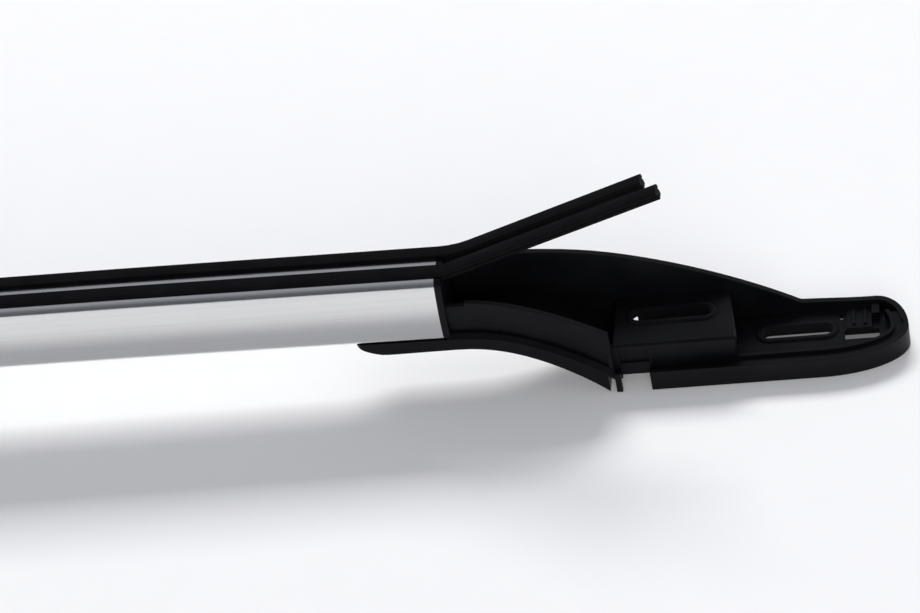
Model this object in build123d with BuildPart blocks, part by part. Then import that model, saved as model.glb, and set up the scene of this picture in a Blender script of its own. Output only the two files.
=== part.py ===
from build123d import *
from math import cos, degrees, radians, sin, sqrt
import os

# Driving dimensions in millimetres. X runs along the roof, Y across it, Z up from the roof skin.
# The right-hand rail is drawn: its outer side faces -Y and its front foot is at +X.
# Places along a foot are measured from the end of the tube.
TRACK = 1000.0            # between the two rails' centre lines
RAIL_LENGTH = 1140.0      # along the top of the tube
RAIL_BEND = 30000.0       # radius of the gentle arch along the roof
RAIL_WIDTH = 35.0
RAIL_HEIGHT = 37.5
RAIL_WALL = 2.2
RAIL_SHOULDER = 4.5
RAIL_CORNER = 4.0
FLANK_LEAN = 2.5          # how far the bowed flanks lean in at the top
FLANK_WIDEST = 25.0       # where they are widest, below the top
FLANK_TAPER = 0.9         # how far they draw in again at the bottom
CROWN_AT_FOOT = 71.5      # height of the tube's top where it meets a foot

STRIP_SPACING = 15.0      # between the two rubber strips in the top of the tube
STRIP_WIDTH = 8.0
STRIP_CROWN = 2.4
STRIP_EDGE = 2.0
STRIP_ROUND = 0.5
NECK_WIDTH = 4.8
NECK_DEPTH = 1.0
BARB_WIDTH = 6.2
STEM_DEPTH = 3.3
GROOVE_PLAY = 0.1
OUTER_TAIL = 125.0        # length of each strip beyond the tube, over the foot
INNER_TAIL = 115.3
OUTER_BEND = 25.0         # bend and angle of each tail that is pulled up out of the foot
OUTER_LIFT = 20.0
INNER_BEND = 50.0
INNER_LIFT = 20.3

FOOT_LENGTH = 232.5
FOOT_NEAR = 27.0          # half width on the outer side
FOOT_FAR = 22.5           # half width on the inner side
FOOT_START = 1.0
FLARE_END = 91.0          # where the foot reaches its full width
NOSE_NEAR_START = 188.0
NOSE_FAR_START = 216.0
NOSE_TIP_Y = -5.0
TAPER_START = 170.0       # from here the inner side draws in towards the nose
NOSE_TAPER = 2.3
RIM_HEIGHT = 11.5
SKIRT_WALL = 2.4
FAR_WALL = 3.2
FAR_WALL_DROP = 7.5       # the inner wall stops this far below the cover's top
CROWN_BEND = 360.0        # radius of the cover's falling top line
FAR_WALL_BLEND = 5.0

ARCH_CENTRE_X = 10.0      # the arch under the foot; its mouldings are all concentric
ARCH_RADIUS = 120.0
ARCH_END = 84.0           # also the boss's left face
FLOOR = 3.0
LIP_TOP = 3.4             # mouldings of the outer wall, measured up from the arch
LIP_BEVEL = 2.4
BAND_LOW = 10.8
BAND_TOP = 22.3
BAND_STEP_X = 13.0
BAND_STEP = 1.7
LIP_WIDTH = 5.0
BAND_INSET = 2.7
RECESS_INSET = 4.2
MOULDING = 2.6
POST = 2.5
POST_DEPTH = 6.0

PLATE_LOW = 3.0
PLATE_TOP = 6.0
PLATE_INSET = 1.0
BOSS_RIGHT_NEAR = 147.5
BOSS_RIGHT_FAR = 143.0
BOSS_FRONT = -20.0
BOSS_BACK = 21.0
BOSS_TOP = 24.5
BOSS_WALL = 3.0
BOSS_ROUND = 2.0
SLOT_Y = 2.5
SLOT_WIDTH = 9.0          # clears an M8 bolt
BOSS_SLOT_X = 114.0
BOSS_SLOT_LENGTH = 42.0
BOSS_SLOT_DEPTH = 3.5
PLATE_SLOT_X = 176.0
PLATE_SLOT_LENGTH = 37.0
BEAD_WIDTH = 2.7
BEAD_HEIGHT = 1.2
BEAD_CHAMFER = 0.9
NOTCH_LEFT = 87.0
NOTCH_RIGHT = 102.0
NOTCH_SILL = 5.5          # the boss's front wall ends here, above the notch
FAR_NOTCH_RIGHT = 94.0
FAR_NOTCH_TOP = 12.0
PANEL_LOW = 13.0
PANEL_TOP = 22.0
PANEL_DEPTH = 1.5
LEDGE_LOW = 8.1           # the step between the skirt and the cover's seat rib
LEDGE_TOP = 10.3
SEAT_RIB_INSET = 7.0
SEAT_RIB_WIDTH = 2.0
SEAT_RIB_TOP = 12.0
SEAT_RIB_END = 8.0        # how far the rib turns round the nose
WINDOW_LEFT = 200.0
WINDOW_RIGHT = 217.5
WINDOW_NEAR = -6.0
WINDOW_FAR = 0.6
CLIP_LEFT = 201.3
CLIP_RIGHT = 214.0
CLIP_ROOT = 18.0
CLIP_TOP = 7.5
RIDGE_WIDTH = 1.8
RIDGE_GAP = 2.6
RIDGE_TOP = 8.3
SLIT_LEFT = 197.6
SLIT_WIDTH = 1.7
SLIT_NEAR = 9.8
STOP_RIB_WIDTH = 4.0
STOP_RIB_NEAR = 8.5
STOP_RIB_TOP = 10.0

COLLAR = 3.5
COLLAR_INSET = 0.15       # inside the tube's outline
SPIGOT_LENGTH = 50.0
SPIGOT_WIDTH = 27.0
SPIGOT_TOP = 9.0          # below the tube's top
SPIGOT_WALL = 3.0
SPIGOT_PLAY = 0.2
SCREW_BACK = 30.0         # from the tube's end to the clamp screws
SCREW_SPREAD = 16.0
SCREW_RADIUS = 2.0
SCREW_HEAD_RADIUS = 4.0
SCREW_HEAD = 2.6
SCREW_HEAD_CHAMFER = 0.8
SCREW_SOCKET = 1.3
SCREW_LENGTH = 13.0
SCREW_PLAY = 0.1

TRIM_DEPTH = 7.0          # of the under trim, below the arch's crown
TRIM_BEND = 106.0         # radius of its underside
TRIM_GAP = 0.5
TRIM_INSET = 0.8
TRIM_WALL = 2.4
TRIM_END = 80.6
TONGUE_LENGTH = 46.5
TONGUE_HALF = 16.0
TONGUE_ROUND = 4.0
TONGUE_NOSE = 17.5        # length of the tongue's rounded underside
TONGUE_TIP = 1.2
TONGUE_GAP = 0.05
SCREW_PAD = 0.8
SCREW_PAD_LENGTH = 9.0
SCREW_PAD_WIDTH = 30.0

PAD_INSET = 7.2
PAD_START = 150.0
PAD_END = 199.6
PAD_CLEAR = 2.5           # round the lower bolt slot

COVER_WALL = 2.3
COVER_TOP = 5.7
COVER_GAP = 0.4
COVER_BLEND = 40.0
COVER_SHOULDER = 6.5
COVER_NOSE = 3.5          # the cover's top above the rim at the nose
HOOK_WIDTH = 11.0
HOOK_WALL = 2.2
HOOK_LOW = 1.8
HOOK_TOE = 1.6

# Derived positions.
half_turn = RAIL_LENGTH / 2 / RAIL_BEND
rail_end_x = RAIL_BEND * sin(half_turn)
bend_centre_z = CROWN_AT_FOOT - RAIL_BEND * cos(half_turn)
rail_y = -TRACK / 2
strip_y = STRIP_SPACING / 2
arch_crown = CROWN_AT_FOOT - RAIL_HEIGHT
crown_centre_x = -CROWN_BEND * sin(half_turn)
crown_centre_z = CROWN_AT_FOOT - CROWN_BEND * cos(half_turn)
nose_top = RIM_HEIGHT + COVER_NOSE
reach = 100.0             # passes every wall of a foot
below = -20.0
clear = 1.0               # a cut runs this far past the face it opens
past_nose = FOOT_LENGTH + clear
along = (cos(half_turn), 0, -sin(half_turn))
outward = (sin(half_turn), 0, cos(half_turn))

# Planes at the tube's front end: from above, from the outer side, and square to the tube.
plan = Plane(origin=(rail_end_x, rail_y, 0))
side = Plane(origin=(rail_end_x, rail_y, 0), x_dir=(1, 0, 0), z_dir=(0, -1, 0))
rail_end = Plane(origin=(rail_end_x, rail_y, CROWN_AT_FOOT), x_dir=(0, 1, 0), z_dir=along)
under_rail = Plane(
    origin=rail_end.from_local_coords((0, -RAIL_HEIGHT, -SCREW_BACK)), x_dir=along, z_dir=outward
)
under_rail_rear = Plane(
    origin=(-under_rail.origin.X, rail_y, under_rail.origin.Z), z_dir=(-outward[0], 0, outward[2]),
    x_dir=(along[0], 0, -along[2]),
)
screw_places = [(0, -SCREW_SPREAD / 2), (0, SCREW_SPREAD / 2)]


def rail_outline():
    """Outer section of the tube: flat top, rounded shoulders and bowed flanks."""
    widest = RAIL_WIDTH / 2
    top, low = widest - FLANK_LEAN, widest - FLANK_TAPER
    with BuildSketch(Plane.XY) as outline:
        with BuildLine():
            Line((-top, 0), (top, 0))
            ThreePointArc((top, 0), (widest, -FLANK_WIDEST), (low, -RAIL_HEIGHT))
            Line((low, -RAIL_HEIGHT), (-low, -RAIL_HEIGHT))
            ThreePointArc((-low, -RAIL_HEIGHT), (-widest, -FLANK_WIDEST), (-top, 0))
        make_face()
        fillet(outline.vertices().group_by(Axis.Y)[-1], RAIL_SHOULDER)
        fillet(outline.vertices().group_by(Axis.Y)[0], RAIL_CORNER)
    return outline.sketch


def groove_outline():
    """Undercut groove that holds a strip's barbed stem."""
    mouth = NECK_WIDTH / 2 + GROOVE_PLAY
    chamber = BARB_WIDTH / 2 + GROOVE_PLAY
    bottom = -STEM_DEPTH - GROOVE_PLAY
    with BuildSketch(Plane.XY) as outline:
        with Locations((0, bottom / 2)):
            Rectangle(2 * mouth, -bottom)
        with Locations((0, (bottom - NECK_DEPTH + GROOVE_PLAY) / 2)):
            Rectangle(2 * chamber, -bottom - NECK_DEPTH + GROOVE_PLAY)
    return outline.sketch


def strip_outline():
    """Section of a rubber strip: domed head, neck and a barbed foot."""
    head, neck, barb = STRIP_WIDTH / 2, NECK_WIDTH / 2, BARB_WIDTH / 2
    with BuildSketch(Plane.XY) as outline:
        with BuildLine():
            ThreePointArc((-head, STRIP_EDGE), (0, STRIP_CROWN), (head, STRIP_EDGE))
            right = Polyline(
                (head, STRIP_EDGE), (head, 0), (neck, 0), (neck, -NECK_DEPTH), (barb, -NECK_DEPTH),
                (neck, -STEM_DEPTH), (0, -STEM_DEPTH),
            )
            mirror(right, about=Plane.YZ)
        make_face()
        fillet(outline.vertices().group_by(Axis.Y)[-1], STRIP_ROUND)
    return outline.sketch


def foot_plan(inset):
    """Outline of a foot from above, drawn in by inset all round: flared neck and a round nose."""
    neck = RAIL_WIDTH / 2 - inset
    near, far = FOOT_NEAR - inset, FOOT_FAR - inset
    tip, nose_far = FOOT_LENGTH - inset, far - NOSE_TAPER
    level = [(1, 0), (1, 0)]
    with BuildSketch(Plane.XY) as outline:
        with BuildLine():
            Spline((FOOT_START, -neck), (FLARE_END, -near), tangents=level)
            Line((FLARE_END, -near), (NOSE_NEAR_START, -near))
            EllipticalCenterArc(
                (NOSE_NEAR_START, NOSE_TIP_Y), tip - NOSE_NEAR_START, near + NOSE_TIP_Y, 270, arc_size=90
            )
            EllipticalCenterArc(
                (NOSE_FAR_START, NOSE_TIP_Y), tip - NOSE_FAR_START, nose_far - NOSE_TIP_Y, 0, arc_size=90
            )
            Spline((TAPER_START, far), (NOSE_FAR_START, nose_far), tangents=level)
            Line((TAPER_START, far), (FLARE_END, far))
            Spline((FOOT_START, neck), (FLARE_END, far), tangents=level)
            Line((FOOT_START, neck), (FOOT_START, -neck))
        make_face()
    return outline.sketch


def arch_height(rise, x, bend=ARCH_RADIUS):
    """Height of an arc of the arch at a place along the foot."""
    radius = bend + rise
    return arch_crown - bend + sqrt(radius**2 - (x - ARCH_CENTRE_X) ** 2)


def below_arch(rise, start=FOOT_START, end=ARCH_END, bend=ARCH_RADIUS):
    """Side view of all that lies under an arc of the arch, level from its crown to the tube."""
    radius = bend + rise
    crown = arch_crown + rise
    drop = arch_height(rise, end, bend)
    with BuildSketch(Plane.XY) as outline:
        with BuildLine():
            Line((start, crown), (ARCH_CENTRE_X, crown))
            RadiusArc((ARCH_CENTRE_X, crown), (end, drop), radius)
            Polyline((end, drop), (end, below), (start, below), (start, crown))
        make_face()
    return outline.sketch


def below_crown(drop, level, blend, start=FOOT_START):
    """Side view of all under the cover's falling top line, less drop, blended into the nose's level."""
    radius = CROWN_BEND - drop
    landing = crown_centre_x + sqrt(radius**2 - (level - crown_centre_z) ** 2)
    rise = crown_centre_z + sqrt(radius**2 - (start - crown_centre_x) ** 2)
    with BuildSketch(Plane.XY) as outline:
        with BuildLine():
            RadiusArc((start, rise), (landing, level), radius)
            Polyline(
                (landing, level), (past_nose, level), (past_nose, below), (start, below), (start, rise)
            )
        make_face()
        fillet(outline.vertices().sort_by_distance((landing, level))[0], blend)
    return outline.sketch


def upright(outer, inner, profile, near=0.0, far=0.0):
    """A wall between two plan outlines, cut to a side view, from near to far either side of centre."""
    with BuildPart() as wall:
        with BuildSketch(plan):
            add(foot_plan(outer))
            if inner is not None:
                add(foot_plan(inner), mode=Mode.SUBTRACT)
        extrude(amount=reach)
        with BuildSketch(side.offset(-far)):
            add(profile)
        extrude(amount=near + far, mode=Mode.INTERSECT)
    return wall.part


def band(low, high):
    """Side view of a moulding that follows the arch."""
    with BuildSketch(Plane.XY) as outline:
        add(below_arch(high))
        add(below_arch(low), mode=Mode.SUBTRACT)
    return outline.sketch


def rectangle(left, right, low, high):
    """A plain rectangle between the given edges."""
    with BuildSketch(Plane.XY) as outline:
        with Locations(((left + right) / 2, (low + high) / 2)):
            Rectangle(right - left, high - low)
    return outline.sketch


# The tube is an aluminium extrusion, bent to the roof, with two grooves for rubber along its top.
channel_half = BARB_WIDTH / 2 + RAIL_WALL
with BuildPart() as rail:
    with BuildSketch(rail_end):
        add(rail_outline())
        offset(amount=-RAIL_WALL, mode=Mode.SUBTRACT)
        with Locations((-strip_y, 0), (strip_y, 0)):
            add(rectangle(-channel_half, channel_half, -STEM_DEPTH - RAIL_WALL, -RAIL_WALL / 2))
            add(groove_outline(), mode=Mode.SUBTRACT)
    revolve(axis=Axis((0, rail_y, bend_centre_z), (0, -1, 0)), revolution_arc=degrees(2 * half_turn))
    for floor in (under_rail, under_rail_rear):
        with BuildSketch(floor):
            with Locations(*screw_places):
                Circle(SCREW_RADIUS + SCREW_PLAY)
        extrude(amount=2 * RAIL_WALL, both=True, mode=Mode.SUBTRACT)


def slot_collar(x, length, low, top):
    """The thick rim round a bolt slot, with a bevelled bead standing above the face it is in."""
    with BuildPart() as rim:
        with BuildSketch(plan.offset(low)):
            with Locations((x, SLOT_Y)):
                SlotOverall(length + 2 * BEAD_WIDTH, SLOT_WIDTH + 2 * BEAD_WIDTH)
        extrude(amount=top + BEAD_HEIGHT - low)
        chamfer(rim.faces().sort_by(Axis.Z)[-1].edges(), BEAD_CHAMFER)
    return rim.part


def boss_block(inset, low, high):
    """The raised box that carries the upper bolt slot, its right end askew."""
    with BuildPart() as block:
        with BuildSketch(plan.offset(low)):
            Polygon(
                (ARCH_END + inset, BOSS_FRONT + inset),
                (BOSS_RIGHT_NEAR - inset, BOSS_FRONT + inset),
                (BOSS_RIGHT_FAR - inset, BOSS_BACK - inset),
                (ARCH_END + inset, BOSS_BACK - inset),
                align=None,
            )
        extrude(amount=high - low)
        if not inset:
            fillet(block.edges().filter_by(Axis.Z).sort_by(Axis.X)[-1], BOSS_ROUND)
            chamfer(block.faces().sort_by(Axis.Z)[-1].edges().sort_by(Axis.Y)[:-1], BOSS_ROUND / 2)
    return block.part


# The foot's walls: full height on the inner side, low and stepped on the outer side.
with BuildSketch(Plane.XY) as far_profile:
    add(below_crown(FAR_WALL_DROP, RIM_HEIGHT, FAR_WALL_BLEND))
    add(below_arch(0), mode=Mode.SUBTRACT)
with BuildSketch(Plane.XY) as band_profile:
    add(band(BAND_LOW, BAND_TOP))
    step_low = arch_crown + BAND_TOP - BAND_STEP
    add(rectangle(FOOT_START, BAND_STEP_X, step_low, step_low + reach), mode=Mode.SUBTRACT)
with BuildSketch(Plane.XY) as post:
    add(below_arch(BAND_TOP))
    add(rectangle(ARCH_END - POST, ARCH_END, RIM_HEIGHT, BOSS_TOP), mode=Mode.INTERSECT)
with BuildPart() as lip:
    add(upright(0, LIP_WIDTH, band(0, LIP_TOP), near=reach))
    crests = lip.faces().filter_by(lambda face: face.normal_at().Z > 0.5)
    curves = [crest.edges().filter_by(GeomType.LINE, reverse=True) for crest in crests]
    chamfer([edges.sort_by(Axis.Y)[0] for edges in curves], LIP_BEVEL)
ledge = rectangle(ARCH_END, past_nose, LEDGE_LOW, LEDGE_TOP)
groove = rectangle(ARCH_END, past_nose, 0, LEDGE_LOW)
seat_rib = rectangle(BOSS_RIGHT_NEAR - 2 * SEAT_RIB_WIDTH, past_nose, PLATE_LOW, SEAT_RIB_TOP)
foot_walls = [
    upright(0, FAR_WALL, far_profile.sketch, far=reach),
    lip.part,
    upright(BAND_INSET, BAND_INSET + MOULDING, band_profile.sketch, near=reach),
    upright(RECESS_INSET, RECESS_INSET + MOULDING, band(LIP_TOP / 2, BAND_LOW + BAND_STEP), near=reach),
    upright(SKIRT_WALL, None, band(0, FLOOR), near=reach, far=reach),
    upright(BAND_INSET, BAND_INSET + POST_DEPTH, post.sketch, near=reach),
    upright(0, SKIRT_WALL, rectangle(ARCH_END, past_nose, 0, RIM_HEIGHT), near=reach),
    upright(PLATE_INSET, None, rectangle(ARCH_END, past_nose, PLATE_LOW, PLATE_TOP), near=reach, far=reach),
    upright(SEAT_RIB_INSET, SEAT_RIB_INSET + SEAT_RIB_WIDTH, seat_rib, reach, SEAT_RIB_END),
    upright(SKIRT_WALL, SEAT_RIB_INSET, ledge, reach, SEAT_RIB_END),
    boss_block(0, PLATE_LOW, BOSS_TOP),
]
under_ledge = upright(SKIRT_WALL, SEAT_RIB_INSET, groove, reach, SEAT_RIB_END)
boss_hollow = boss_block(BOSS_WALL, below, BOSS_TOP - BOSS_WALL)
boss_slot_rim = slot_collar(BOSS_SLOT_X, BOSS_SLOT_LENGTH, BOSS_TOP - BOSS_SLOT_DEPTH, BOSS_TOP)
plate_slot_rim = slot_collar(PLATE_SLOT_X, PLATE_SLOT_LENGTH, PLATE_LOW, PLATE_TOP)
spigot_half = SPIGOT_WIDTH / 2
spigot_low = -RAIL_HEIGHT + RAIL_WALL + SPIGOT_PLAY

groove_half = BARB_WIDTH / 2 + GROOVE_PLAY
groove_depth = STEM_DEPTH + 2 * GROOVE_PLAY
open_groove = rectangle(-groove_half, groove_half, -groove_depth, clear)

# One moulding carries the tube's end and takes the bolts to the roof.
with BuildPart() as foot:
    with BuildSketch(rail_end):
        add(rail_outline())
        offset(amount=-COLLAR_INSET, mode=Mode.REPLACE)
        with Locations((-strip_y, 0), (strip_y, 0)):
            add(open_groove, mode=Mode.SUBTRACT)
    extrude(amount=COLLAR)
    with BuildSketch(rail_end):
        add(rectangle(-spigot_half, spigot_half, spigot_low, -SPIGOT_TOP))
    extrude(amount=-SPIGOT_LENGTH)
    with BuildSketch(rail_end.offset(-SPIGOT_LENGTH)):
        add(rectangle(
            SPIGOT_WALL - spigot_half, spigot_half - SPIGOT_WALL,
            spigot_low + SPIGOT_WALL, -SPIGOT_TOP - SPIGOT_WALL,
        ))
    extrude(amount=SPIGOT_LENGTH, mode=Mode.SUBTRACT)
    with BuildSketch(under_rail):
        with Locations(*screw_places):
            Circle(SCREW_RADIUS)
    extrude(amount=SCREW_LENGTH, mode=Mode.SUBTRACT)
    for wall in foot_walls:
        add(wall)
    add(under_ledge, mode=Mode.SUBTRACT)
    add(boss_hollow, mode=Mode.SUBTRACT)
    add(boss_slot_rim)
    add(plate_slot_rim)
    with BuildSketch(plan):
        with Locations((BOSS_SLOT_X, SLOT_Y)):
            SlotOverall(BOSS_SLOT_LENGTH, SLOT_WIDTH)
        with Locations((PLATE_SLOT_X, SLOT_Y)):
            SlotOverall(PLATE_SLOT_LENGTH, SLOT_WIDTH)
    extrude(amount=reach, mode=Mode.SUBTRACT)
    # Drain notch through the skirt and under the boss, with a small one in the inner wall and a shallow
    # panel in the boss's face.
    with BuildSketch(side.offset(-BOSS_FRONT)):
        add(rectangle(NOTCH_LEFT, NOTCH_RIGHT, below, reach))
    extrude(amount=reach, mode=Mode.SUBTRACT)
    with BuildSketch(side.offset(-BOSS_FRONT)):
        add(rectangle(NOTCH_LEFT, NOTCH_RIGHT, below, NOTCH_SILL))
    extrude(amount=-BOSS_WALL - clear, mode=Mode.SUBTRACT)
    with BuildSketch(side):
        add(rectangle(NOTCH_LEFT, FAR_NOTCH_RIGHT, below, FAR_NOTCH_TOP))
    extrude(amount=-reach, mode=Mode.SUBTRACT)
    with BuildSketch(side.offset(-BOSS_FRONT)):
        add(rectangle(NOTCH_LEFT, NOTCH_RIGHT, PANEL_LOW, PANEL_TOP))
    extrude(amount=-PANEL_DEPTH, mode=Mode.SUBTRACT)
    # Window, slit, spring clip and stop that hold the cover's hook.
    with BuildSketch(plan):
        add(rectangle(WINDOW_LEFT, WINDOW_RIGHT, WINDOW_NEAR, WINDOW_FAR))
        add(rectangle(SLIT_LEFT, SLIT_LEFT + SLIT_WIDTH, SLIT_NEAR, CLIP_ROOT - BEAD_WIDTH))
    extrude(amount=reach, mode=Mode.SUBTRACT)
    with BuildSketch(plan.offset(PLATE_LOW)):
        add(rectangle(CLIP_LEFT, CLIP_RIGHT, WINDOW_FAR, CLIP_ROOT))
    extrude(amount=CLIP_TOP - PLATE_LOW)
    with BuildSketch(plan.offset(PLATE_LOW)):
        for left in (CLIP_LEFT + RIDGE_GAP, CLIP_RIGHT - RIDGE_GAP - RIDGE_WIDTH):
            add(rectangle(left, left + RIDGE_WIDTH, WINDOW_FAR + RIDGE_GAP, CLIP_ROOT))
    extrude(amount=RIDGE_TOP - PLATE_LOW)
    with BuildSketch(plan.offset(PLATE_LOW)):
        add(rectangle(CLIP_RIGHT, CLIP_RIGHT + STOP_RIB_WIDTH, STOP_RIB_NEAR, CLIP_ROOT))
    extrude(amount=STOP_RIB_TOP - PLATE_LOW)

# The under trim closes the arch from below, and its tongue is screwed up against the tube.
under_start = rail_end.from_local_coords((0, -RAIL_HEIGHT - TONGUE_GAP, 0)) - plan.origin
under_tip = rail_end.from_local_coords((0, -RAIL_HEIGHT - TONGUE_GAP, -TONGUE_LENGTH)) - plan.origin
trim_crown = arch_crown - TRIM_GAP
trim_low = arch_crown - TRIM_DEPTH
head_seat = -TRIM_DEPTH + SCREW_HEAD - SCREW_PAD / 2


def trim_plan(inset):
    """Outline of the under trim from above: a straight tongue and the foot's flare."""
    tongue = TONGUE_HALF - inset
    near, far = FOOT_NEAR - TRIM_INSET - inset, FOOT_FAR - TRIM_INSET - inset
    level = [(1, 0), (1, 0)]
    with BuildSketch(Plane.XY) as outline:
        with BuildLine():
            Line((under_tip.X + inset, -tongue), (0, -tongue))
            Spline((0, -tongue), (FLARE_END, -near), tangents=level)
            Line((FLARE_END, -near), (FLARE_END, far))
            Spline((0, tongue), (FLARE_END, far), tangents=level)
            Line((0, tongue), (under_tip.X + inset, tongue))
            Line((under_tip.X + inset, tongue), (under_tip.X + inset, -tongue))
        make_face()
        fillet(outline.vertices().group_by(Axis.X)[0], TONGUE_ROUND)
    return outline.sketch


with BuildSketch(Plane.XY) as tongue_profile:
    with BuildLine():
        nose_start = (under_tip.X + TONGUE_NOSE, trim_low)
        nose_end = (under_tip.X, under_tip.Z - TONGUE_TIP)
        Polyline(
            nose_end, (under_tip.X, under_tip.Z), (under_start.X, under_start.Z), (0, trim_crown),
            (0, trim_low), nose_start,
        )
        TangentArc(nose_start, nose_end, tangent=(-1, 0))
    make_face()

with BuildPart() as trim_hollow:
    with BuildSketch(plan):
        add(trim_plan(TRIM_WALL))
    extrude(amount=reach)
    with BuildSketch(side):
        add(below_arch(clear, 2 * TRIM_WALL, TRIM_END - TRIM_WALL))
        add(below_arch(TRIM_WALL - TRIM_DEPTH, 0, TRIM_END, TRIM_BEND + TRIM_DEPTH), mode=Mode.SUBTRACT)
    extrude(amount=reach, both=True, mode=Mode.INTERSECT)

with BuildPart() as under_trim:
    with BuildSketch(plan):
        add(trim_plan(0))
    extrude(amount=reach)
    with BuildSketch(side):
        add(below_arch(-TRIM_GAP, 0, TRIM_END))
        add(below_arch(-TRIM_DEPTH, -TONGUE_LENGTH, TRIM_END, TRIM_BEND + TRIM_DEPTH), mode=Mode.SUBTRACT)
        add(tongue_profile.sketch)
    extrude(amount=reach, both=True, mode=Mode.INTERSECT)
    add(trim_hollow.part, mode=Mode.SUBTRACT)
    with BuildSketch(under_rail.offset(head_seat)):
        Rectangle(SCREW_PAD_LENGTH, SCREW_PAD_WIDTH)
    extrude(amount=-SCREW_HEAD - SCREW_PAD)
    with BuildSketch(under_rail):
        with Locations(*screw_places):
            Circle(SCREW_RADIUS + SCREW_PLAY)
    extrude(amount=-TRIM_DEPTH, mode=Mode.SUBTRACT)
    with BuildSketch(under_rail.offset(head_seat)):
        with Locations(*screw_places):
            Circle(SCREW_HEAD_RADIUS + SCREW_PLAY)
    extrude(amount=-TRIM_DEPTH, mode=Mode.SUBTRACT)

# Two pan-head screws go up through the tongue and the tube's floor into the foot's spigot.
with BuildPart() as clamp_screws:
    with BuildSketch(under_rail.offset(head_seat)):
        with Locations(*screw_places):
            Circle(SCREW_RADIUS)
    extrude(amount=SCREW_LENGTH)
    with BuildSketch(under_rail.offset(head_seat)):
        with Locations(*screw_places):
            Circle(SCREW_HEAD_RADIUS)
    extrude(amount=-SCREW_HEAD)
    chamfer(clamp_screws.faces().group_by(Axis.Z)[0].edges(), SCREW_HEAD_CHAMFER)
    with BuildSketch(under_rail.offset(head_seat - SCREW_HEAD)):
        with Locations(*screw_places):
            RegularPolygon(SCREW_RADIUS, 6)
    extrude(amount=SCREW_SOCKET, mode=Mode.SUBTRACT)

# A foam pad inside the skirt seals the lower bolt slot against the roof.
with BuildPart() as roof_pad:
    add(upright(PAD_INSET, None, rectangle(PAD_START, PAD_END, 0, PLATE_LOW), reach, reach))
    with BuildSketch(plan):
        with Locations((PLATE_SLOT_X, SLOT_Y)):
            SlotOverall(PLATE_SLOT_LENGTH + 2 * PAD_CLEAR, SLOT_WIDTH + 2 * PAD_CLEAR)
    extrude(amount=reach, mode=Mode.SUBTRACT)

# The clip-on cover is a thin shell that carries the tube's top and outer flank on to the nose.
cover_start = COLLAR + COVER_GAP
cover_hollow = upright(
    COVER_WALL, None, below_crown(COVER_TOP, nose_top - COVER_WALL, COVER_BLEND), reach, reach
)
far_seat = upright(
    -COVER_GAP, FAR_WALL + COVER_GAP,
    below_crown(FAR_WALL_DROP - COVER_GAP, RIM_HEIGHT + COVER_GAP, FAR_WALL_BLEND), far=reach,
)
strips = {
    "outer": (-strip_y, OUTER_TAIL, OUTER_BEND, OUTER_LIFT),
    "inner": (strip_y, INNER_TAIL, INNER_BEND, INNER_LIFT),
}


def cover_groove(tail):
    """Side view of the groove that a lying strip's stem takes in the cover's top."""
    with BuildSketch(Plane.XY) as outline:
        add(below_crown(-clear, nose_top, COVER_BLEND))
        add(below_crown(groove_depth, nose_top, COVER_BLEND), mode=Mode.SUBTRACT)
        add(rectangle(0, tail + COVER_GAP, below, reach), mode=Mode.INTERSECT)
    return outline.sketch


hook_middle = (WINDOW_LEFT + WINDOW_RIGHT) / 2
hook_left, hook_right = hook_middle - HOOK_WIDTH / 2, hook_middle + HOOK_WIDTH / 2
hook_near = WINDOW_FAR - COVER_GAP - HOOK_WALL
with BuildPart() as cover:
    add(upright(0, None, below_crown(0, nose_top, COVER_BLEND, cover_start), reach, reach))
    tops = cover.edges().filter_by(lambda edge: edge.center().Z > RIM_HEIGHT)
    fillet(tops.filter_by(Axis.Y, reverse=True).filter_by(Axis.Z, reverse=True), COVER_SHOULDER)
    add(cover_hollow, mode=Mode.SUBTRACT)
    add(far_seat, mode=Mode.SUBTRACT)
    with BuildSketch(side):
        add(below_arch(LIP_TOP + COVER_GAP))
        add(rectangle(ARCH_END, past_nose, below, RIM_HEIGHT + COVER_GAP))
    extrude(amount=reach, mode=Mode.SUBTRACT)
    for middle, tail, bend, lift in strips.values():
        with BuildSketch(side.offset(-middle - groove_half)):
            add(cover_groove(tail))
        extrude(amount=2 * groove_half, mode=Mode.SUBTRACT)
    with BuildSketch(plan.offset(HOOK_LOW)):
        add(rectangle(hook_left, hook_right, hook_near, hook_near + HOOK_WALL))
    extrude(amount=nose_top - COVER_WALL / 2 - HOOK_LOW)
    with BuildSketch(plan.offset(HOOK_LOW)):
        add(rectangle(hook_left, hook_right, hook_near, hook_near + HOOK_WALL + HOOK_TOE))
    extrude(amount=(PLATE_LOW - HOOK_LOW) / 2)

# The rubber strips run in the tube's grooves and on over each foot.
tilt = degrees(half_turn)
crown_middle = bend_centre_z + RAIL_BEND
lie_x = rail_end_x + crown_centre_x


def rubber_strip(middle, tail, bend, lift):
    """One strip, its rear tail lying in the cover and its front tail lifted, or lying where lift is 0."""
    lie_angle = degrees(tail / CROWN_BEND)
    upright_plane = Plane(origin=(0, rail_y + middle, 0), x_dir=(1, 0, 0), z_dir=(0, -1, 0))
    with BuildPart() as strip:
        with BuildLine(upright_plane) as path:
            CenterArc((-lie_x, crown_centre_z), CROWN_BEND, 90 + tilt + lie_angle, -lie_angle)
            ThreePointArc((-rail_end_x, CROWN_AT_FOOT), (0, crown_middle), (rail_end_x, CROWN_AT_FOOT))
            if lift:
                rise = JernArc((rail_end_x, CROWN_AT_FOOT), (along[0], along[2]), bend, lift)
                PolarLine(rise @ 1, tail - bend * radians(lift), direction=rise % 1)
            else:
                CenterArc((lie_x, crown_centre_z), CROWN_BEND, 90 - tilt, -lie_angle)
        start = path.wire()
        with BuildSketch(Plane(origin=start @ 0, x_dir=(0, 1, 0), z_dir=start % 0)):
            add(strip_outline())
        sweep(path=start)
    return strip.part


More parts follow.
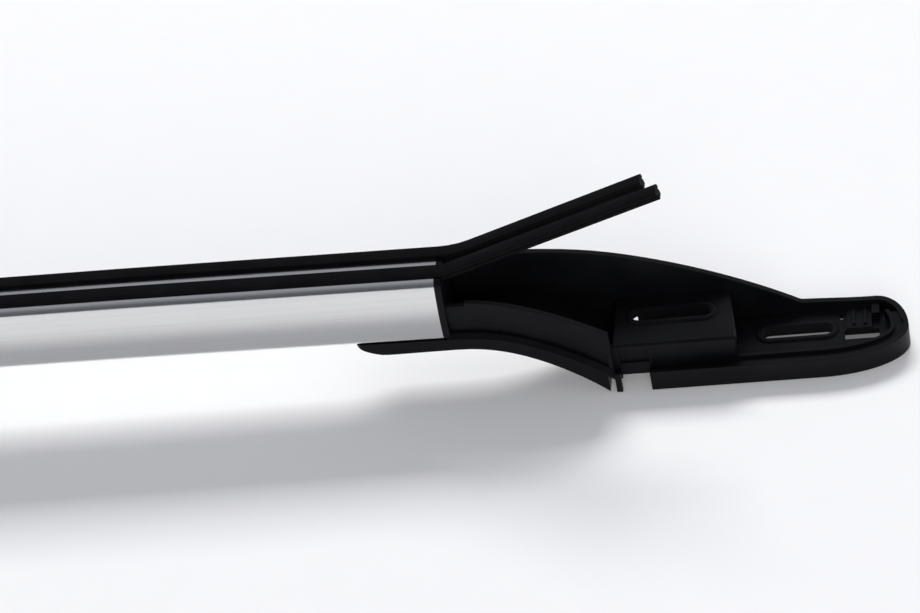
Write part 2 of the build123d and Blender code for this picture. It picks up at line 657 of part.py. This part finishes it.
# Each corner of the roof has the same pieces, mirrored. The right rail's front end stands open:
# its cover is off and its strips are pulled up.
corner_pieces = {
    "foot": foot.part, "under_trim": under_trim.part, "screws": clamp_screws.part,
    "pad": roof_pad.part, "cover": cover.part,
}
open_end = "right_front_cover"
os.makedirs("parts", exist_ok=True)
for hand in ("right", "left"):
    with BuildPart() as tube:
        add(rail.part)
        if hand == "left":
            mirror(about=Plane.XZ, mode=Mode.REPLACE)
    tube.part.label = f"{hand}_rail"
    export_step(tube.part, f"parts/{hand}_rail.step")
    for name, (middle, tail, bend, lift) in strips.items():
        with BuildPart() as strip:
            add(rubber_strip(middle, tail, bend, lift if hand == "right" else 0))
            if hand == "left":
                mirror(about=Plane.XZ, mode=Mode.REPLACE)
        strip.part.label = f"{hand}_{name}_strip"
        export_step(strip.part, f"parts/{hand}_{name}_strip.step")
    for end in ("front", "rear"):
        for name, piece in corner_pieces.items():
            label = f"{hand}_{end}_{name}"
            if label == open_end:
                continue
            with BuildPart() as fitted:
                add(piece)
                if end == "rear":
                    mirror(about=Plane.YZ, mode=Mode.REPLACE)
                if hand == "left":
                    mirror(about=Plane.XZ, mode=Mode.REPLACE)
            fitted.part.label = label
            export_step(fitted.part, f"parts/{label}.step")
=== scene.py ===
from math import cos, radians, sin

import bmesh
import bpy
from mathutils import Matrix, Vector


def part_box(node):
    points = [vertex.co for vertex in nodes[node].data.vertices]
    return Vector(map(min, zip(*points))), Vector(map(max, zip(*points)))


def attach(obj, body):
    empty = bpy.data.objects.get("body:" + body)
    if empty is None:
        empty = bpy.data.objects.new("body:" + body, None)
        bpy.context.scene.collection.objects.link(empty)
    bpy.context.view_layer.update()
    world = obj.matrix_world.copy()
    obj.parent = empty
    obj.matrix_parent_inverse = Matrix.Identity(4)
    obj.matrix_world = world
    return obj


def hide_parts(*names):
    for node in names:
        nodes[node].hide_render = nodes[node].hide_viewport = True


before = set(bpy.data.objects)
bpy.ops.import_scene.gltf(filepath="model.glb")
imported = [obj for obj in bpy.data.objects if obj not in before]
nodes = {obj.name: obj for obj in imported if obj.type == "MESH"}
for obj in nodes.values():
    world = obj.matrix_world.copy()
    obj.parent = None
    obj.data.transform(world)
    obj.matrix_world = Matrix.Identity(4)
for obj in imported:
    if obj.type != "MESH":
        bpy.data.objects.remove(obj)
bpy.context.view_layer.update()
scene = bpy.context.scene

# Tubes: aluminium extrusions, bent to the roof and anodised. The die leaves faint lines along the tube,
# and the etched, sealed oxide film is satin rather than polished, with slow cloudy differences in its gloss.


def shader_tree(name):
    """A new material's nodes, its links and its Principled shader."""
    material = bpy.data.materials.new(name)
    material.use_nodes = True
    tree = material.node_tree
    return material, tree.nodes, tree.links, tree.nodes["Principled BSDF"]


def effect_group(name, inputs, outputs):
    """An empty shader node group with the named sockets, its inputs given with their start values."""
    group = bpy.data.node_groups.new(name, "ShaderNodeTree")
    for label, value in inputs.items():
        socket = group.interface.new_socket(label, in_out="INPUT", socket_type="NodeSocketFloat")
        socket.default_value = value
    for label in outputs:
        group.interface.new_socket(label, in_out="OUTPUT", socket_type="NodeSocketFloat")
    return group, group.nodes.new("NodeGroupInput"), group.nodes.new("NodeGroupOutput")


def placed(tree, group, **values):
    """One of the shared effects in a material, with its own values."""
    effect = tree.new("ShaderNodeGroup")
    effect.node_tree = group
    for label, value in values.items():
        effect.inputs[label].default_value = value
    return effect


def tint(tree, links, shader, mask, dark, pale, start=0.0, stop=1.0):
    """Runs the base colour from one tone to another along a mask."""
    ramp = tree.new("ShaderNodeValToRGB")
    first, last = ramp.color_ramp.elements
    first.position, first.color = start, (*dark, 1)
    last.position, last.color = stop, (*pale, 1)
    links.new(mask, ramp.inputs["Fac"])
    links.new(ramp.outputs["Color"], shader.inputs["Base Color"])


def gloss(tree, links, shader, mask, smooth, rough):
    """Runs the roughness between two values along a mask."""
    span = tree.new("ShaderNodeMapRange")
    span.inputs["To Min"].default_value = smooth
    span.inputs["To Max"].default_value = rough
    links.new(mask, span.inputs["Value"])
    links.new(span.outputs["Result"], shader.inputs["Roughness"])


def emboss(tree, links, shader, height, strength, depth):
    """Raises the surface by a height mask, and gives the bump node."""
    bump = tree.new("ShaderNodeBump")
    bump.inputs["Strength"].default_value = strength
    bump.inputs["Distance"].default_value = depth
    links.new(height, bump.inputs["Height"])
    links.new(bump.outputs["Normal"], shader.inputs["Normal"])
    return bump


def dress(names, material):
    """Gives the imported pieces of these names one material."""
    for name in names:
        mesh = nodes[name].data
        mesh.materials.clear()
        mesh.materials.append(material)


# Lines drawn along a piece by the die, and the cloudy patches that handling and etching leave.
die_lines, given, out = effect_group(
    "die lines", {"Along": 3.0, "Across": 700.0, "Cloud": 30.0}, ("Lines", "Clouds")
)
place = die_lines.nodes.new("ShaderNodeTexCoord")
spread = die_lines.nodes.new("ShaderNodeCombineXYZ")
die_lines.links.new(given.outputs["Along"], spread.inputs["X"])
die_lines.links.new(given.outputs["Across"], spread.inputs["Y"])
die_lines.links.new(given.outputs["Across"], spread.inputs["Z"])
stretch = die_lines.nodes.new("ShaderNodeVectorMath")
stretch.operation = "MULTIPLY"
die_lines.links.new(place.outputs["Object"], stretch.inputs[0])
die_lines.links.new(spread.outputs["Vector"], stretch.inputs[1])
lines = die_lines.nodes.new("ShaderNodeTexNoise")
lines.inputs["Scale"].default_value = 1.0
lines.inputs["Detail"].default_value = 3.0
die_lines.links.new(stretch.outputs["Vector"], lines.inputs["Vector"])
clouds = die_lines.nodes.new("ShaderNodeTexNoise")
clouds.inputs["Detail"].default_value = 4.0
die_lines.links.new(place.outputs["Object"], clouds.inputs["Vector"])
die_lines.links.new(given.outputs["Cloud"], clouds.inputs["Scale"])
die_lines.links.new(lines.outputs["Fac"], out.inputs["Lines"])
die_lines.links.new(clouds.outputs["Fac"], out.inputs["Clouds"])

anodised, tree, links, shader = shader_tree("anodised aluminium")
shader.inputs["Metallic"].default_value = 1.0
drawn = placed(tree, die_lines)
film_dark, film_pale = (0.71, 0.71, 0.715), (0.76, 0.76, 0.755)
tint(tree, links, shader, drawn.outputs["Lines"], film_dark, film_pale, start=0.3, stop=0.7)
gloss(tree, links, shader, drawn.outputs["Clouds"], smooth=0.16, rough=0.24)
emboss(tree, links, shader, drawn.outputs["Lines"], strength=0.04, depth=0.00005)
dress(["right_rail", "left_rail"], anodised)

# Rubber strips: solid black extrusions pressed into the tube's grooves. Their tops are matt, with a trace of
# the die's lines and a grey bloom of dust.

rubber, tree, links, shader = shader_tree("strip rubber")
shader.inputs["Specular IOR Level"].default_value = 0.08
drawn = placed(tree, die_lines, Along=6.0, Across=1600.0, Cloud=90.0)
rubber_black, rubber_bloom = (0.0034, 0.0034, 0.0038), (0.0062, 0.0062, 0.0066)
tint(tree, links, shader, drawn.outputs["Clouds"], rubber_black, rubber_bloom, start=0.35, stop=0.75)
gloss(tree, links, shader, drawn.outputs["Clouds"], smooth=0.62, rough=0.78)
emboss(tree, links, shader, drawn.outputs["Lines"], strength=0.15, depth=0.0001)
dress([f"{hand}_{side}_strip" for hand in ("right", "left") for side in ("outer", "inner")], rubber)

# Feet: glass-filled nylon mouldings that clamp the tube's end and take the roof bolts. The mould's spark-eroded
# face gives them a fine leathery grain, and edges are slightly rounded.

# Grain of an eroded mould face, with pores and slow differences of gloss.
moulded_grain, given, out = effect_group("moulded grain", {"Size": 2200.0, "Cloud": 45.0}, ("Grain", "Clouds"))
place = moulded_grain.nodes.new("ShaderNodeTexCoord")
pits = moulded_grain.nodes.new("ShaderNodeTexVoronoi")
pits.feature = "SMOOTH_F1"
moulded_grain.links.new(place.outputs["Object"], pits.inputs["Vector"])
moulded_grain.links.new(given.outputs["Size"], pits.inputs["Scale"])
clouds = moulded_grain.nodes.new("ShaderNodeTexNoise")
clouds.inputs["Detail"].default_value = 4.0
moulded_grain.links.new(place.outputs["Object"], clouds.inputs["Vector"])
moulded_grain.links.new(given.outputs["Cloud"], clouds.inputs["Scale"])
moulded_grain.links.new(pits.outputs["Distance"], out.inputs["Grain"])
moulded_grain.links.new(clouds.outputs["Fac"], out.inputs["Clouds"])


def moulded_plastic(name, size, dark, pale, smooth, rough, depth, edge=0.0005):
    """A black moulded plastic: its grain size, two tones, gloss range, grain depth and edge radius."""
    material, tree, links, shader = shader_tree(name)
    shader.inputs["Specular IOR Level"].default_value = 0.14
    eroded = placed(tree, moulded_grain, Size=size)
    tint(tree, links, shader, eroded.outputs["Clouds"], dark, pale, start=0.35, stop=0.7)
    gloss(tree, links, shader, eroded.outputs["Clouds"], smooth, rough)
    rounded = tree.new("ShaderNodeBevel")
    rounded.samples = 6
    rounded.inputs["Radius"].default_value = edge
    relief = emboss(tree, links, shader, eroded.outputs["Grain"], strength=0.25, depth=depth)
    links.new(rounded.outputs["Normal"], relief.inputs["Normal"])
    return material


corners = [f"{hand}_{end}" for hand in ("right", "left") for end in ("front", "rear")]
foot_nylon = moulded_plastic(
    "foot nylon", size=2400.0, dark=(0.0036, 0.0038, 0.0045), pale=(0.0062, 0.0065, 0.0074),
    smooth=0.36, rough=0.50, depth=0.00008,
)
dress([f"{corner}_foot" for corner in corners], foot_nylon)

# Under trims: smoother black mouldings that close each arch from below. The tongue of each reaches back under
# the tube, where two screws hold it.

trim_plastic = moulded_plastic(
    "trim plastic", size=3000.0, dark=(0.0034, 0.0036, 0.0042), pale=(0.0054, 0.0056, 0.0064),
    smooth=0.30, rough=0.42, depth=0.00005,
)
dress([f"{corner}_under_trim" for corner in corners], trim_plastic)

# Clamp screws: pan heads with a hexagon socket, turned from steel and zinc plated. They go up through the trim's
# tongue and the tube into the foot's spigot.

plated, tree, links, shader = shader_tree("zinc plated steel")
shader.inputs["Metallic"].default_value = 1.0
turned = placed(tree, moulded_grain, Size=6000.0, Cloud=400.0)
tint(tree, links, shader, turned.outputs["Clouds"], dark=(0.42, 0.42, 0.44), pale=(0.58, 0.58, 0.57))
gloss(tree, links, shader, turned.outputs["Clouds"], smooth=0.25, rough=0.45)
dress([f"{corner}_screws" for corner in corners], plated)

# Roof pads: die-cut closed-cell foam glued under each foot's plate. The cut edge bulges a little where the pad
# is squeezed, and the skin shows small open cells.

foam, tree, links, shader = shader_tree("pad foam")
shader.inputs["Specular IOR Level"].default_value = 0.2
cells = placed(tree, moulded_grain, Size=1100.0, Cloud=120.0)
tint(tree, links, shader, cells.outputs["Grain"], dark=(0.012, 0.012, 0.013), pale=(0.030, 0.030, 0.031))
gloss(tree, links, shader, cells.outputs["Clouds"], smooth=0.85, rough=0.98)
emboss(tree, links, shader, cells.outputs["Grain"], strength=0.6, depth=0.0004)

pad_trim = 0.003         # the pad stops short of the slit beside the foot's clip
pad_edge = 0.0003        # how far the squeezed middle stands out past the pad's two faces
pad_edge_height = 0.0006
pad_slot_half = 0.014    # from the slot's middle to the middle of its round end
pad_slot_radius = 0.0052
pad_slot_along, pad_slot_across = 0.0012, 0.00475    # the slot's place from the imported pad's middle
pad_steps = 96


def ring_points(half_x, half_y, slot_radius):
    """Matching points round the slot and round the pad's rectangle, for a ring of faces between them."""
    inner, outer = [], []
    for step in range(pad_steps):
        angle = radians(360 * step / pad_steps)
        way = Vector((cos(angle), sin(angle), 0))
        middle = Vector((pad_slot_half if way.x > 0 else -pad_slot_half, 0, 0)) if abs(way.x) > 1e-6 else Vector()
        inner.append(middle + way * slot_radius)
        reach = min(half_x / max(abs(way.x), 1e-9), half_y / max(abs(way.y), 1e-9))
        outer.append(way * reach)
    return inner, outer


for corner in corners:
    low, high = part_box(f"{corner}_pad")
    across = 1 if corner.startswith("right") else -1
    along = 1 if corner.endswith("front") else -1
    middle = (low + high) / 2 - Vector((along * pad_trim / 2, 0, 0))
    half = (high - low) / 2 - Vector((pad_trim / 2, 0, 0))
    slot_at = Vector((along * (pad_slot_along + pad_trim / 2), across * pad_slot_across, 0))
    body = bmesh.new()
    loops = []
    for height, inset in (
        (low.z, pad_edge), (low.z + pad_edge_height, 0.0), (high.z - pad_edge_height, 0.0), (high.z, pad_edge)
    ):
        inner, outer = ring_points(half.x - inset, half.y - inset, pad_slot_radius + inset)
        loops.append([
            [body.verts.new((middle.x + p.x + shift.x, middle.y + p.y + shift.y, height)) for p in points]
            for points, shift in ((inner, slot_at), (outer, Vector()))
        ])
    for step in range(pad_steps):
        after = (step + 1) % pad_steps
        for below, above in zip(loops, loops[1:]):
            for side in (0, 1):
                body.faces.new((below[side][step], below[side][after], above[side][after], above[side][step]))
        for ring in (loops[0], loops[-1]):
            body.faces.new((ring[0][step], ring[0][after], ring[1][after], ring[1][step]))
    bmesh.ops.recalc_face_normals(body, faces=body.faces)
    mesh = bpy.data.meshes.new(f"{corner}_foam")
    body.to_mesh(mesh)
    body.free()
    mesh.materials.append(foam)
    pad = bpy.data.objects.new(f"{corner}_foam", mesh)
    scene.collection.objects.link(pad)
    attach(pad, "root")
    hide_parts(f"{corner}_pad")

# End covers: thin black mouldings that clip over three of the feet and carry the tube's line on to the nose.
# They are smoother than the feet, because they are what shows on the roof.

cover_plastic = moulded_plastic(
    "cover plastic", size=3200.0, dark=(0.0038, 0.0039, 0.0044), pale=(0.0060, 0.0062, 0.0068),
    smooth=0.28, rough=0.38, depth=0.00005,
)
dress([name for name in nodes if name.endswith("_cover")], cover_plastic)

# Floor: a large sheet of white paper under the rails, with the faint mottle of its fibres. It is lifted a little
# towards white, for the camera and for what the metal mirrors alike, and keeps the rails' shadow.

paper, tree, links, shader = shader_tree("white paper")
shader.inputs["Roughness"].default_value = 0.9
shader.inputs["Specular IOR Level"].default_value = 0.0
place = tree.new("ShaderNodeTexCoord")
fibres = tree.new("ShaderNodeTexNoise")
fibres.inputs["Scale"].default_value = 40.0
fibres.inputs["Detail"].default_value = 5.0
links.new(place.outputs["Object"], fibres.inputs["Vector"])
tint(tree, links, shader, fibres.outputs["Fac"], dark=(0.94, 0.94, 0.94), pale=(0.97, 0.97, 0.97))
ray = tree.new("ShaderNodeLightPath")
mirrored = tree.new("ShaderNodeMath")
mirrored.operation = "MAXIMUM"
links.new(ray.outputs["Is Glossy Ray"], mirrored.inputs[0])
links.new(ray.outputs["Is Transmission Ray"], mirrored.inputs[1])
seen = tree.new("ShaderNodeMath")
seen.operation = "MAXIMUM"
links.new(ray.outputs["Is Camera Ray"], seen.inputs[0])
links.new(mirrored.outputs["Value"], seen.inputs[1])
lift = tree.new("ShaderNodeMath")
lift.operation = "MULTIPLY"
lift.inputs[1].default_value = 0.12
links.new(seen.outputs["Value"], lift.inputs[0])
white = tree.new("ShaderNodeEmission")
either = tree.new("ShaderNodeMixShader")
links.new(lift.outputs["Value"], either.inputs["Fac"])
links.new(shader.outputs["BSDF"], either.inputs[1])
links.new(white.outputs["Emission"], either.inputs[2])
links.new(either.outputs["Shader"], tree["Material Output"].inputs["Surface"])
floor_half, floor_z = 9.0, -0.0005
mesh = bpy.data.meshes.new("floor")
mesh.from_pydata(
    [(x * floor_half, y * floor_half, floor_z) for x, y in ((-1, -1), (1, -1), (1, 1), (-1, 1))], [], [(0, 1, 2, 3)]
)
mesh.materials.append(paper)
floor = bpy.data.objects.new("floor", mesh)
scene.collection.objects.link(floor)

# Light: two large soft boxes, one in front and one behind, kept out of the reflections, in a grey room that is
# darker in front of the rails than behind them.

open_end = Vector((0.55, -0.5, 0.03))
for name, watts, size, stand in (
    ("front soft box", 68.0, (2.8, 2.0), (1.2, -4.5, 1.7)),
    ("back soft box", 530.0, (4.2, 2.2), (0.3, 5.2, 5.1)),
):
    lamp = bpy.data.lights.new(name, "AREA")
    lamp.shape = "RECTANGLE"
    lamp.size, lamp.size_y = size
    lamp.energy = watts
    soft_box = bpy.data.objects.new(name, lamp)
    soft_box.location = stand
    soft_box.rotation_euler = (open_end - soft_box.location).to_track_quat("-Z", "Y").to_euler()
    soft_box.visible_glossy = False
    scene.collection.objects.link(soft_box)

room = bpy.data.worlds.new("grey room")
room.use_nodes = True
scene.world = room
tree, links = room.node_tree.nodes, room.node_tree.links
towards = tree.new("ShaderNodeTexCoord")
axes = tree.new("ShaderNodeSeparateXYZ")
links.new(towards.outputs["Generated"], axes.inputs["Vector"])
depth = tree.new("ShaderNodeMapRange")
depth.interpolation_type = "SMOOTHSTEP"
depth.inputs["From Min"].default_value = -1.0
depth.inputs["From Max"].default_value = 0.1
links.new(axes.outputs["Y"], depth.inputs["Value"])
walls = tree.new("ShaderNodeValToRGB")
walls.color_ramp.elements[0].color = (0.105, 0.108, 0.118, 1)
walls.color_ramp.elements[1].color = (0.34, 0.345, 0.385, 1)
links.new(depth.outputs["Result"], walls.inputs["Fac"])
links.new(walls.outputs["Color"], tree["Background"].inputs["Color"])

# Camera: a long lens in front of the right rail's open front end, looking down on it. It leans with the rail, and
# stands a little to the left, so that the picture is framed with no lens shift.

tilt, turn, lean = radians(38.165), radians(13.211), radians(12.798)
distance, pixel, picture_width = 1.5, 0.000507, 920
step_left, step_down = 0.097989, 0.002113
ahead = Vector((-sin(turn) * cos(tilt), cos(turn) * cos(tilt), -sin(tilt)))
level = Vector((cos(turn), sin(turn), 0))
rise = level.cross(ahead)
right = cos(lean) * level - sin(lean) * rise
up = sin(lean) * level + cos(lean) * rise
roof_radius, half_tube = 30.0, 0.57
foot_middle = Vector((roof_radius * sin(half_tube / roof_radius) + 0.106, -0.5, 0.035))
lens = bpy.data.cameras.new("camera")
lens.sensor_width = 36.0
lens.lens = lens.sensor_width * distance / pixel / picture_width
camera = bpy.data.objects.new("camera", lens)
scene.collection.objects.link(camera)
stance = Matrix((right, up, -ahead)).transposed().to_4x4()
stance.translation = foot_middle - distance * ahead - step_left * right - step_down * up
camera.matrix_world = stance
scene.camera = camera
scene.view_settings.view_transform = "Standard"
